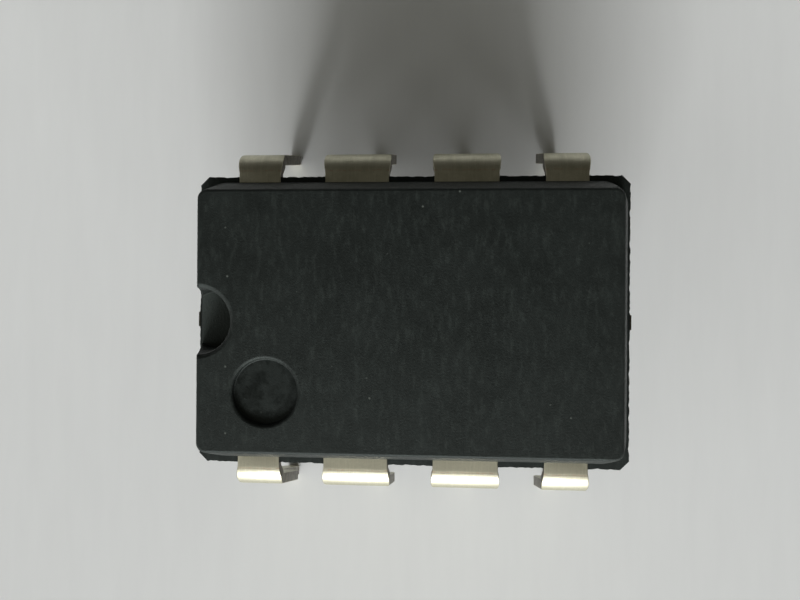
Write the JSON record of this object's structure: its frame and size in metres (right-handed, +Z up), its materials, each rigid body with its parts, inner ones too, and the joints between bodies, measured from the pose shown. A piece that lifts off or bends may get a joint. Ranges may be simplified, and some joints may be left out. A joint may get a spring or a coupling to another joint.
{
  "type": "dual in-line integrated circuit chip",
  "caption": "Small through-hole chip: black moulded body with an end notch and a round dimple, and two rows of shouldered, splayed metal leads.",
  "frame": {"origin": "middle of the object's bounding box, on the plane that its lead tips stand on", "axes": "+X along the body, away from the notched end; +Y across it, towards the row of leads 5 to 8; +Z up, out of the top face"},
  "size_m": [0.01, 0.0096, 0.0067],
  "materials": {
    "resin": "matte filled epoxy",
    "lead_finish": "solder-plated, dull",
    "bare_frame": "bare copper alloy",
    "attach_paste": "cured silver-filled paste",
    "silicon": "polished",
    "gold": "drawn"
  },
  "bodies": {
    "root": {"body": "resin", "lead_1": "lead_finish", "lead_2": "lead_finish", "lead_3": "lead_finish", "lead_4": "lead_finish", "lead_5": "lead_finish", "lead_6": "lead_finish", "lead_7": "lead_finish", "lead_8": "lead_finish", "die_pad": "bare_frame", "die_attach": "attach_paste", "die": "silicon", "bond_wire_1": "gold", "bond_wire_2": "gold", "bond_wire_3": "gold", "bond_wire_4": "gold", "bond_wire_5": "gold", "bond_wire_6": "gold", "bond_wire_7": "gold", "bond_wire_8": "gold"}
  },
  "joints": []
}
